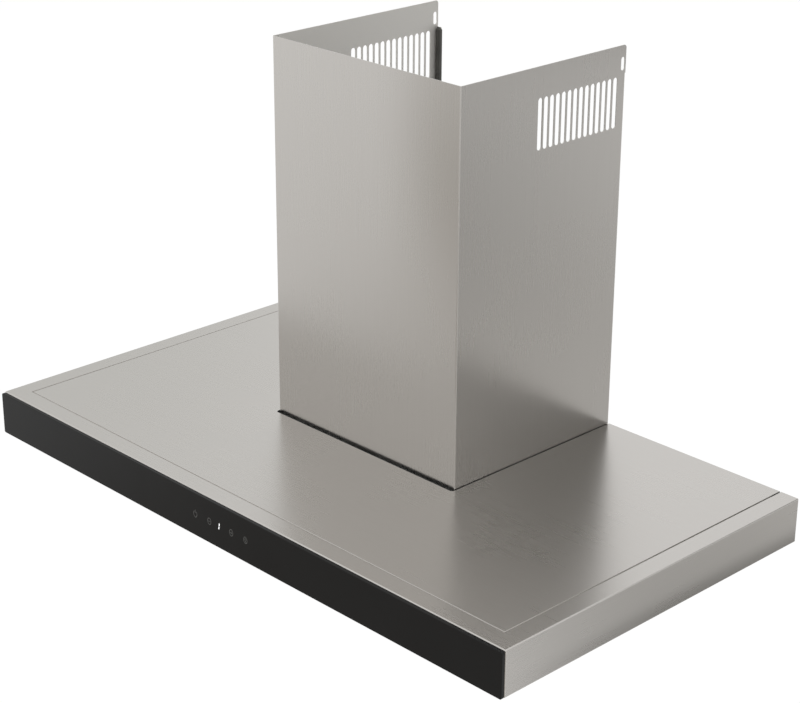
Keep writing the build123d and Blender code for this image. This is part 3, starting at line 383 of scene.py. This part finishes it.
def lean_normal(tree, bump, axis, lean, on_wall):
    """Adds the lean times the mask of a wall to the normal along one axis, and makes it unit length."""
    masked = add(tree, "ShaderNodeMath", {0: lean, 1: on_wall}, operation="MULTIPLY")
    sideways = add(tree, "ShaderNodeCombineXYZ", {axis: masked.outputs[0]})
    surface = add(tree, "ShaderNodeNewGeometry")
    pair = {0: surface.outputs["Normal"], 1: sideways.outputs[0]}
    leaned = add(tree, "ShaderNodeVectorMath", pair, operation="ADD")
    scaled = add(tree, "ShaderNodeVectorMath", {0: leaned.outputs[0]}, operation="NORMALIZE")
    tree.links.new(scaled.outputs[0], bump.inputs["Normal"])


facing = add(tree, "ShaderNodeSeparateXYZ", {0: spot.outputs["Normal"]})
where = add(tree, "ShaderNodeSeparateXYZ", {0: spot.outputs["Object"]})
fold_end = cover_high[0] + FRONT_PAST_FOLD
inputs = {"Value": where.outputs["X"], "From Min": FRONT_START_X, "From Max": fold_end}
near_fold = add(tree, "ShaderNodeMapRange", inputs, interpolation_type="SMOOTHSTEP")
inputs = {"Value": where.outputs["Z"], "From Min": FRONT_START_Z, "From Max": FRONT_END_Z}
inputs["To Max"] = FRONT_LEAN
high_up = add(tree, "ShaderNodeMapRange", inputs, interpolation_type="SMOOTHSTEP")
pair = {0: near_fold.outputs[0], 1: high_up.outputs[0]}
lean = add(tree, "ShaderNodeMath", pair, operation="MULTIPLY")
in_front = add(tree, "ShaderNodeMath", {0: facing.outputs["Y"], 1: -FACING_SHARE}, operation="LESS_THAN")
lean_normal(tree, bump, "X", lean.outputs[0], in_front.outputs[0])

end_where = add(canopy_tree, "ShaderNodeSeparateXYZ", {0: canopy_spot.outputs["Object"]})
shell_middle = (shell_low[2] + shell_high[2]) / 2
inputs = {"Value": end_where.outputs["Z"], "From Min": shell_middle, "From Max": shell_low[2]}
inputs["To Max"] = END_LEAN
lean = add(canopy_tree, "ShaderNodeMapRange", inputs, interpolation_type="SMOOTHSTEP")
lean_normal(canopy_tree, canopy_bump, "Z", lean.outputs[0], faces_sideways(canopy_tree, canopy_spot))
print("front leans by", FRONT_LEAN, "and end walls by", END_LEAN)

# %% [markdown]
# ### The inside of the chimney cover
# Sheet is brushed on its good side only, and the inside keeps the dull finish of the mill. A face is known
# to be inside when its normal points towards the cover's upright axis, so that the product of the normal
# and the level way from that axis is negative.

# %% Inside of the chimney cover
MILL_ROUGHNESS = 0.6
middle_y = (cover_low[1] + cover_high[1]) / 2
pair = {0: spot.outputs["Object"], 1: (0.0, middle_y, 0.0)}
from_axis = add(tree, "ShaderNodeVectorMath", pair, operation="SUBTRACT")
pair = {0: from_axis.outputs[0], 1: (1.0, 1.0, 0.0)}
level_way = add(tree, "ShaderNodeVectorMath", pair, operation="MULTIPLY")
pair = {0: level_way.outputs[0], 1: spot.outputs["Normal"]}
outward = add(tree, "ShaderNodeVectorMath", pair, operation="DOT_PRODUCT")
pair = {0: outward.outputs["Value"], 1: 0.0}
inside = add(tree, "ShaderNodeMath", pair, operation="LESS_THAN").outputs[0]
brushed_tint = shader.inputs["Base Color"].links[0].from_socket
brushed_rough = shader.inputs["Roughness"].links[0].from_socket
# Sockets 0, 6 and 7 of a colour mix are its factor and its two colours, and output 2 is the mixed colour
inputs = {0: inside, 6: brushed_tint, 7: linear("#D8D6D2")}
mill_tint = add(tree, "ShaderNodeMix", inputs, data_type="RGBA")
mill_rough = add(tree, "ShaderNodeMix", {"Factor": inside, "A": brushed_rough, "B": MILL_ROUGHNESS})
tree.links.new(mill_tint.outputs[2], shader.inputs["Base Color"])
tree.links.new(mill_rough.outputs[0], shader.inputs["Roughness"])
print("cover axis at y", round(middle_y, 4))

# %% [markdown]
# ## Galvanised steel
# The hidden sheets, such as the blower box and the rear panel, are zinc-coated. Zinc freezes on steel in
# flat crystals, called spangle, each of which mirrors the light a little differently. Voronoi cells give
# those crystals, about 9 mm wide, and each cell's own random value sets its tone and its roughness. Fine
# pits of about 1.5 mm keep the surface from looking like a mirror.

# %% Galvanised steel
SPANGLE_MM = 9.0
PIT_MM = 1.5
PIT_DEPTH_MM = 0.05

zinc_sheet, tree, shader, spot = start_material("galvanised_steel_sheet", Metallic=1.0)
inputs = {"Vector": spot.outputs["Object"], "Scale": 1 / (MM * SPANGLE_MM), "Randomness": 1.0}
cells = add(tree, "ShaderNodeTexVoronoi", inputs)
chance = add(tree, "ShaderNodeSeparateColor", {0: cells.outputs["Color"]})
tint = add(tree, "ShaderNodeValToRGB", {0: chance.outputs[0]})
set_tones(tint, "#ACB0B2", "#C0C4C6")
rough = add(tree, "ShaderNodeMapRange", {"Value": chance.outputs[1], "To Min": 0.34, "To Max": 0.5})
inputs = {"Vector": spot.outputs["Object"], "Scale": 1 / (MM * PIT_MM), "Detail": 3.0}
pits = add(tree, "ShaderNodeTexNoise", inputs)
inputs = {"Height": pits.outputs[0], "Strength": 0.08, "Distance": PIT_DEPTH_MM * MM}
bump = add(tree, "ShaderNodeBump", inputs)
tree.links.new(tint.outputs[0], shader.inputs["Base Color"])
tree.links.new(rough.outputs[0], shader.inputs["Roughness"])
tree.links.new(bump.outputs[0], shader.inputs["Normal"])
print("made", zinc_sheet.name)

# %% [markdown]
# ## Black glass
# The front is a sheet of float glass, 4 mm thick, enamelled black on its back. It looks nearly black, with
# the sharp, weak mirror of any glass. Faint wiping marks, some 60 mm wide, change the gloss slightly.

# %% Black glass
WIPE_MM = 60.0
black_glass, tree, shader, spot = start_material("black_enamelled_glass", IOR=1.5, Specular_IOR_Level=0.1)
inputs = {"Vector": spot.outputs["Object"], "Scale": 1 / (MM * WIPE_MM), "Detail": 4.0, "Distortion": 0.6}
wipes = add(tree, "ShaderNodeTexNoise", inputs)
rough = add(tree, "ShaderNodeMapRange", {"Value": wipes.outputs[0], "To Min": 0.05, "To Max": 0.11})
tint = add(tree, "ShaderNodeValToRGB", {0: wipes.outputs[0]})
set_tones(tint, "#232323", "#272727")
tree.links.new(tint.outputs[0], shader.inputs["Base Color"])
tree.links.new(rough.outputs[0], shader.inputs["Roughness"])
print("made", black_glass.name)

# %% [markdown]
# ## Moulded, foamed and extruded plastics
# Housings, pulls, the fan wheel, the collar, seals and leads are all plastics of some kind, and the
# magnets and the enamelled motor look much like them. What sets them apart is their tone, their gloss and
# the size of their grain: a spark-eroded mould leaves a fine even grain, foam has open pores, and an
# extruded strip is smooth with faint waves. One function takes these sizes.

# %% Plastics
# The slow drift of tone is this many grains wide
DRIFT_GRAINS = 12


def grained(name, dark, light, grain_mm, depth_mm, rough_low, rough_high, **values):
    """Two tones mixed by a soft noise, with a finer noise of the grain's real size as the relief."""
    material, tree, shader, spot = start_material(name, **values)
    inputs = {"Vector": spot.outputs["Object"], "Scale": 1 / (MM * grain_mm), "Detail": 2.0}
    grain = add(tree, "ShaderNodeTexNoise", inputs).outputs[0]
    drift_scale = 1 / (MM * DRIFT_GRAINS * grain_mm)
    inputs = {"Vector": spot.outputs["Object"], "Scale": drift_scale, "Detail": 3.0}
    drift = add(tree, "ShaderNodeTexNoise", inputs)
    tint = add(tree, "ShaderNodeValToRGB", {0: drift.outputs[0]})
    set_tones(tint, dark, light, 0.3, 0.7)
    rough = add(tree, "ShaderNodeMapRange", {"Value": grain, "To Min": rough_low, "To Max": rough_high})
    bump = add(tree, "ShaderNodeBump", {"Height": grain, "Strength": 0.4, "Distance": depth_mm * MM})
    tree.links.new(tint.outputs[0], shader.inputs["Base Color"])
    tree.links.new(rough.outputs[0], shader.inputs["Roughness"])
    tree.links.new(bump.outputs[0], shader.inputs["Normal"])
    return material


# Lamp lens: opal acrylic is milky all through, so light spreads a little under its surface
milky = {"IOR": 1.49, "Subsurface_Weight": 0.25, "Subsurface_Scale": 0.002}
# Each material slot's name, tones, grain size and depth in millimetres, and range of roughness
plastics = {
    # Housings and pulls: moulded ABS, matt black with a spark-eroded grain of about 0.8 mm
    "black_abs": grained("moulded_black_abs", "#1B1B1C", "#232324", 0.8, 0.05, 0.42, 0.55, IOR=1.53),
    # Collar and flaps: the same plastic, a little greyer and glossier from a smoother mould
    "collar_abs": grained("moulded_grey_black_abs", "#252628", "#2E2F31", 1.0, 0.03, 0.36, 0.46, IOR=1.53),
    # Fan wheel: glass-filled nylon, dull with a mottled skin
    "fan_nylon": grained("glass_filled_nylon", "#2A2B2C", "#38393A", 0.6, 0.05, 0.5, 0.66, IOR=1.53),
    # Edge trims and bushes: extruded rubber, dark and dull. The bushes are real black rubber, but on the
    # trims along the chimney cover's rear edges the dark tone is painted reflection of the cover's dark
    # inside
    "bush_rubber": grained("black_rubber_and_painted_reflection", "#444340", "#4F4E4A", 1.5, 0.03, 0.5, 0.62, IOR=1.52),
    # Gasket and sensor pads: open foam with pores of about 1 mm
    "sensor_foam": grained("open_cell_foam", "#2B2B2B", "#3C3C3B", 1.0, 0.3, 0.85, 0.95, IOR=1.45),
    # Bonding tape: acrylic foam, matt grey-black
    "bonding_tape": grained("acrylic_foam_tape", "#2E2E2E", "#393939", 0.7, 0.05, 0.7, 0.8, IOR=1.47),
    # Display block: smoky cast resin, smooth
    "display_resin": grained("smoked_cast_resin", "#1D1D20", "#26262A", 2.0, 0.01, 0.15, 0.25, IOR=1.55),
    # Capacitor: cream polypropylene can with a slight gloss
    "capacitor_case": grained("cream_polypropylene", "#D9D6CC", "#E3E0D6", 1.2, 0.02, 0.35, 0.45, IOR=1.49),
    # Leads: soft grey PVC
    "lead_pvc": grained("soft_grey_pvc", "#8F9092", "#9C9D9F", 1.5, 0.03, 0.4, 0.5, IOR=1.53),
    # Magnets: sintered ferrite, dark and gritty
    "ferrite_magnet": grained("sintered_ferrite", "#2C2B2A", "#3B3A38", 0.9, 0.06, 0.6, 0.75, IOR=2.0),
    # Motor: dark baked enamel with a slight orange-peel surface
    "motor_enamel": grained("baked_motor_enamel", "#2A2B2E", "#333438", 2.5, 0.04, 0.28, 0.36, IOR=1.55),
    "lamp_opal": grained("opal_acrylic", "#ECEBE5", "#F4F3EE", 1.0, 0.02, 0.3, 0.4, **milky),
}
print("plastics", list(plastics))

# %% [markdown]
# ## Small metals and the circuit boards
# Screws are zinc plated, the shaft is ground, clips are spring steel, the bezels are chromed, and the
# filter frames and heat sinks are aluminium. They differ in tone, in roughness and in how fine their marks
# are, so the same recipe as for plastics serves them with the metal value set to 1. A circuit board is
# green solder mask over copper tracks: a pattern of bricks, 12 mm apart, stands for the tracks and the
# parts between them in slightly different greens.

# %% Small metals and circuit boards
# Each material slot's name, tones, grain size and depth in millimetres, and range of roughness
metal_looks = {
    # Screws: zinc plating, bright with a faint warm cast
    "zinc_screw": ("zinc_plated_steel", "#B9BABA", "#C9C8C2", 0.7, 0.01, 0.22, 0.34),
    # Fan shaft: ground steel with a fine satin shine
    "ground_steel": ("ground_steel_shaft", "#B4B5B6", "#C2C3C4", 0.6, 0.01, 0.2, 0.3),
    # Clips: spring steel, the darkest of the six
    "spring_steel": ("bright_spring_steel", "#A7A7A6", "#B8B8B6", 1.0, 0.01, 0.25, 0.35),
    # Lamp bezels: satin chrome, pale and nearly a mirror
    "lamp_chrome": ("satin_chrome", "#CFD0D1", "#D8D9DA", 1.5, 0.005, 0.1, 0.16),
    # Filter frames and mesh: rolled aluminium, pale with a soft shine
    "filter_aluminium": ("rolled_aluminium", "#C6C7C8", "#D3D4D4", 1.2, 0.02, 0.3, 0.42),
    # Heat sinks: turned aluminium, a little darker and duller
    "sink_aluminium": ("turned_aluminium", "#B9BABB", "#C8C9CA", 0.9, 0.02, 0.34, 0.44),
}
small_metals = {slot: grained(*look, Metallic=1.0) for slot, look in metal_looks.items()}

BRICK_MM = 12.0
TRACK_DEPTH_MM = 0.04
circuit_board, tree, shader, spot = start_material("green_solder_mask", IOR=1.55, Roughness=0.34)
inputs = {
    "Vector": spot.outputs["Object"],
    "Color1": linear("#1E6B43"),
    "Color2": linear("#2A7C50"),
    "Mortar": linear("#17573A"),
    "Scale": 1 / (MM * BRICK_MM),
    "Mortar Size": 0.03,
}
tracks = add(tree, "ShaderNodeTexBrick", inputs)
inputs = {"Height": tracks.outputs["Fac"], "Strength": 0.3, "Distance": TRACK_DEPTH_MM * MM}
bump = add(tree, "ShaderNodeBump", inputs, invert=True)
tree.links.new(tracks.outputs["Color"], shader.inputs["Base Color"])
tree.links.new(bump.outputs[0], shader.inputs["Normal"])
print("small metals", list(small_metals), "and", circuit_board.name)

# %% [markdown]
# ## Dressing the solid pieces
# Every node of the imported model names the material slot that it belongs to, so a table from slot to finish
# dresses them all. The chimney cover belongs to the stainless slot too, but its lines run upright.

# %% Dress the nodes
finish_of_slot = {
    "brushed_stainless": canopy_steel,
    "galvanised_steel": zinc_sheet,
    "black_glass": black_glass,
    "circuit_board": circuit_board,
    **plastics,
    **small_metals,
}
for name, node in frame["nodes"].items():
    finish = chimney_steel if name == "chimney_cover" else finish_of_slot[slot_of[name]]
    node.data.materials.clear()
    node.data.materials.append(finish)
print("dressed", len(frame["nodes"]), "nodes with", len(finish_of_slot) + 1, "finishes")

# %% [markdown]
# ## The expanded mesh of the grease filters
# A grease filter holds sheets of expanded aluminium: the sheet is slit and pulled, so that it opens into
# rows of diamonds. It could be drawn as a bump or cut with booleans, but strands are easy to compute. Each
# row is a triangle wave, and the next row is the same wave turned over, so that their tips meet at the
# bonds. The lower sheet leaves room for the finger pull.

# %% Filter mesh
DIAMOND_LENGTH_MM = 9.0
DIAMOND_HEIGHT_MM = 5.4
STRAND_MM = 0.9
SHEET_MM = 0.8
PULL_ROOM_MM = 0.4
wave = DIAMOND_LENGTH_MM * MM
swing = DIAMOND_HEIGHT_MM * MM / 4
strand = STRAND_MM * MM
sheet = SHEET_MM * MM
margin = swing + strand
room = margin + PULL_ROOM_MM * MM


def strand_rows(x0, x1, rows, signs, low, high):
    """Row i is y_i + s_i * swing * T(x), with T a triangle wave. A strand-wide section of the sheet's
    thickness is carried along each row and closed at both ends."""
    count = max(2, int(round((x1 - x0) / (wave / 2))) + 1)
    x = np.linspace(x0, x1, count)
    tip = np.where(np.arange(count) % 2 == 0, 1.0, -1.0)
    y = rows[:, None] + signs[:, None] * swing * tip[None, :]
    half = strand / 2
    section = [(-half, low), (half, low), (half, high), (-half, high)]
    x_grid = np.broadcast_to(x, y.shape)
    points = np.stack([np.stack([x_grid, y + dy, np.full(y.shape, z)], -1) for dy, z in section], 2)
    index = np.arange(y.size * 4).reshape(*y.shape, 4)
    ahead = np.roll(index, -1, axis=2)
    walls = np.stack([index[:, :-1], index[:, 1:], ahead[:, 1:], ahead[:, :-1]], -1).reshape(-1, 4)
    caps = np.concatenate([index[:, 0, :], index[:, -1, ::-1]])
    return points.reshape(-1, 3), np.concatenate([walls, caps])


def joined(groups):
    """Several groups of points and faces as one, each face index moved past the points before it."""
    start = np.cumsum([0] + [len(points) for points, faces in groups[:-1]])
    points = np.concatenate([points for points, faces in groups])
    return points, np.concatenate([faces + first for (_, faces), first in zip(groups, start)])


for side in ("left", "middle", "right"):
    low, high = (np.array(corner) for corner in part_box("filter_mesh_" + side))
    pull_low, pull_high = (np.array(corner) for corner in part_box("filter_pull_" + side))
    rows = np.arange(low[1] + margin, high[1] - margin, DIAMOND_HEIGHT_MM * MM / 2)
    signs = np.where(np.arange(len(rows)) % 2 == 0, 1.0, -1.0)
    split = (rows > pull_low[1] - room) & (rows < pull_high[1] + room)
    lower = (low[2], low[2] + sheet)
    upper = (high[2] - sheet, high[2])
    groups = [
        strand_rows(low[0], high[0], rows[~split], signs[~split], *lower),
        strand_rows(low[0], pull_low[0] - strand, rows[split], signs[split], *lower),
        strand_rows(pull_high[0] + strand, high[0], rows[split], signs[split], *lower),
        strand_rows(low[0], high[0], rows + swing, signs, *upper),
    ]
    mesh = mesh_piece("expanded_mesh_" + side, *joined(groups), small_metals["filter_aluminium"])
    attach(mesh, "filter_" + side)
    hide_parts("filter_mesh_" + side)
    print(mesh.name, len(rows), "rows,", len(mesh.data.polygons), "faces")

# %% [markdown]
# ## The signs on the glass
# The touch keys are only signs on the glass: a power sign, a minus and a plus in rings, and a lamp in a
# ring. The rings are narrow upright ovals in a dim grey. Each sign is a set of strokes, a flat section
# carried along a line or an arc, a few hundredths of a millimetre proud of the glass.

# %% Touch signs
SIGN_ACROSS_MM = 3.1
SIGN_UP_MM = 4.1
STROKE_MM = 0.75
THIN_STROKE_MM = 0.6
SIGN_PROUD_MM = 0.05
ROW_X_MM = -1.9
ROW_Z_MM = 0.9
RING_POINTS = 48
glass_low, glass_high = (np.array(corner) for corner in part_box("front_glass"))
glass_face = glass_low[1]
glass_middle = (glass_low[2] + glass_high[2]) / 2


def stroke(path, widths, closed=False):
    """Section of the given width carried along a path in the plane of the glass, from its face outwards.
    The path is in millimetres across and up from the middle of the row."""
    path = (np.asarray(path, float) + [ROW_X_MM, ROW_Z_MM]) * MM
    ahead = np.roll(path, -1, axis=0) - np.roll(path, 1, axis=0)
    if not closed:
        ahead[0] = path[1] - path[0]
        ahead[-1] = path[-1] - path[-2]
    ahead = ahead / np.linalg.norm(ahead, axis=1)[:, None]
    half_width = np.broadcast_to(widths, len(path)) * MM / 2
    across = np.column_stack([-ahead[:, 1], ahead[:, 0]]) * half_width[:, None]
    front = glass_face - SIGN_PROUD_MM * MM
    section = [(-across, glass_face), (across, glass_face), (across, front), (-across, front)]
    corners = []
    for offset, depth in section:
        x, z = (path + offset).T
        corners.append(np.column_stack([x, np.full(len(path), depth), glass_middle + z]))
    points = np.stack(corners, 1)
    index = np.arange(len(path) * 4).reshape(-1, 4)
    around = np.roll(index, -1, axis=1)
    last = slice(None) if closed else slice(None, -1)
    later = np.roll(index, -1, axis=0)[last]
    later_around = np.roll(around, -1, axis=0)[last]
    faces = np.stack([index[last], around[last], later_around, later], -1).reshape(-1, 4)
    if not closed:
        faces = np.concatenate([faces, index[:1, ::-1], index[-1:]])
    return points.reshape(-1, 3), faces


def arc(x, z, across, upward, start, end, count):
    """Points of an ellipse's arc: (x + a cos t, z + b sin t), with t in degrees from start to end."""
    turn = np.radians(np.linspace(start, end, count))
    return np.column_stack([x + across * np.cos(turn), z + upward * np.sin(turn)])


def ring(x):
    """Closed upright ellipse round a key."""
    path = arc(x, 0, SIGN_ACROSS_MM, SIGN_UP_MM, 0, 360, RING_POINTS + 1)
    return stroke(path[:-1], STROKE_MM, closed=True)


# The power sign: an arc from one angle to another that leaves its top open, and the ends of its bar
POWER_ARC = (125, 415, 40)
POWER_BAR_MM = (1.2, SIGN_UP_MM + 1.6)
# The lamp sign: the height and half axes of a bulb, its arc, and the height and half length of two lines
BULB_MM = (0.6, 1.2, 1.5)
BULB_ARC = (-50, 230, 30)
BULB_FOOT_MM = ((-1.5, 0.8), (-2.5, 0.6))
# The keys' places along the row and half the length of a minus bar, in millimetres
power, minus, plus, light = -45.9, -19.8, 20.2, 45.7
bar = SIGN_ACROSS_MM * 0.55
strokes = [
    stroke(arc(power, 0, SIGN_ACROSS_MM, SIGN_UP_MM, *POWER_ARC), STROKE_MM),
    stroke([(power, z) for z in POWER_BAR_MM], STROKE_MM),
    ring(minus),
    stroke([(minus - bar, 0), (minus + bar, 0)], STROKE_MM),
    ring(plus),
    stroke([(plus - bar, 0), (plus + bar, 0)], STROKE_MM),
    stroke([(plus, STROKE_MM / 2), (plus, bar)], STROKE_MM),
    stroke([(plus, -STROKE_MM / 2), (plus, -bar)], STROKE_MM),
    ring(light),
    stroke(arc(light, *BULB_MM, *BULB_ARC), THIN_STROKE_MM),
    *[stroke([(light - half, z), (light + half, z)], THIN_STROKE_MM) for z, half in BULB_FOOT_MM],
]
sign_print = grained("dim_grey_screen_print", "#525251", "#5A5A58", 0.6, 0.005, 0.4, 0.5, IOR=1.5)
touch_signs = mesh_piece("touch_signs", *joined(strokes), sign_print)
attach(touch_signs, "canopy")
print("signs", len(strokes), "strokes")

# %% [markdown]
# ## The lit digit
# A single digit shines through the glass between the keys. It is a plain 1 of two leaning segments whose
# ends taper, as on any small display, and it glows by itself. A soft noise of 2 mm keeps its light from
# being quite even.

# %% Lit digit
DIGIT_X_MM = -1.8
DIGIT_LEAN = 0.18
SEGMENT_MM = 3.8
SEGMENT_MIDDLE_MM = 2.15
SEGMENT_WIDTH_MM = 1.35
GLOW_MM = 2.0
# Four points along a segment as shares of its length, and its width there as shares of the full one
along = np.array([-0.5, -0.34, 0.34, 0.5]) * SEGMENT_MM
taper = np.array([0.35, 1.0, 1.0, 0.35]) * SEGMENT_WIDTH_MM
heights = [along + middle for middle in (-SEGMENT_MIDDLE_MM, SEGMENT_MIDDLE_MM)]
segments = [stroke(np.column_stack([DIGIT_X_MM + DIGIT_LEAN * z, z]), taper) for z in heights]

lit_print, tree, shader, spot = start_material(
    "lit_white_segment", Roughness=0.4, Emission_Color=linear("#FFFFFF"), Emission_Strength=0.75
)
inputs = {"Vector": spot.outputs["Object"], "Scale": 1 / (MM * GLOW_MM), "Detail": 1.0}
spread = add(tree, "ShaderNodeTexNoise", inputs)
tint = add(tree, "ShaderNodeValToRGB", {0: spread.outputs[0]})
set_tones(tint, "#E8ECF2", "#FFFFFF")
tree.links.new(tint.outputs[0], shader.inputs["Base Color"])
lit_digit = mesh_piece("lit_digit", *joined(segments), lit_print)
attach(lit_digit, "canopy")
print("digit", len(segments), "segments")
